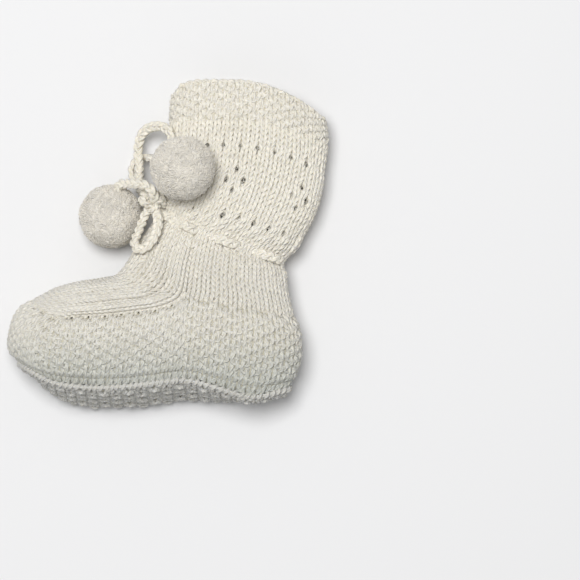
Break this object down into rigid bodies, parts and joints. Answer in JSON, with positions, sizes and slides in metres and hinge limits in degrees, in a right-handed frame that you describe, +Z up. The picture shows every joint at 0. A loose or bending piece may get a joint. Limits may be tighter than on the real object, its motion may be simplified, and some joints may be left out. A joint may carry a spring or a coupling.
{
  "type": "baby bootie",
  "caption": "Hand-knitted cream baby bootie lying on its side, with an eyelet leg, moss-stitch cuff and foot, and a draw cord tied in a bow with two pompoms.",
  "frame": {"origin": "on the surface that the bootie lies on, under the middle of the bootie without its bow and pompoms", "axes": "+X to the heel, +Y up the leg, +Z up from the surface it lies on; the toe points to -X"},
  "size_m": [0.1225, 0.1245, 0.0456],
  "materials": {
    "knit_yarn": "satin",
    "seam_yarn": "satin",
    "cord_yarn": "satin",
    "pompom_yarn": "matte"
  },
  "bodies": {
    "bootie": {"cuff_band": "knit_yarn", "leg_panel": "knit_yarn", "ankle_band": "knit_yarn", "heel_panel": "knit_yarn", "instep_flap": "knit_yarn", "foot_band": "knit_yarn", "sole": "knit_yarn", "sole_seam": "seam_yarn", "back_seam": "seam_yarn", "draw_cord": "cord_yarn", "bow_knot": "cord_yarn", "bow_loop_upper": "cord_yarn", "bow_loop_lower": "cord_yarn", "tie_end_upper": "cord_yarn", "tie_end_lower": "cord_yarn"},
    "stem_upper": {"pompom_stem_upper": "cord_yarn"},
    "stem_lower": {"pompom_stem_lower": "cord_yarn"},
    "ball_upper": {"pompom_upper": "pompom_yarn"},
    "ball_lower": {"pompom_lower": "pompom_yarn"}
  },
  "joints": [
    {"name": "pompom_upper_lift", "type": "hinge", "parent": "bootie", "child": "stem_upper", "pos_m": [-0.0064, 0.0324, 0.0202], "axis": [-0.3068, -0.9518, 0], "range_deg": [0, 60]},
    {"name": "pompom_lower_lift", "type": "hinge", "parent": "bootie", "child": "stem_lower", "pos_m": [-0.0188, 0.0226, 0.0184], "axis": [-0.7042, 0.4795, -0.5236], "range_deg": [0, 65]},
    {"name": "pompom_upper_turn", "type": "hinge", "parent": "stem_upper", "child": "ball_upper", "pos_m": [0.0057, 0.0285, 0.0356], "axis": [0.6059, -0.1953, 0.7712], "range_deg": [-90, 90]},
    {"name": "pompom_lower_turn", "type": "hinge", "parent": "stem_lower", "child": "ball_lower", "pos_m": [-0.0223, 0.0108, 0.0123], "axis": [-0.2548, -0.859, -0.4441], "range_deg": [-90, 90]}
  ]
}
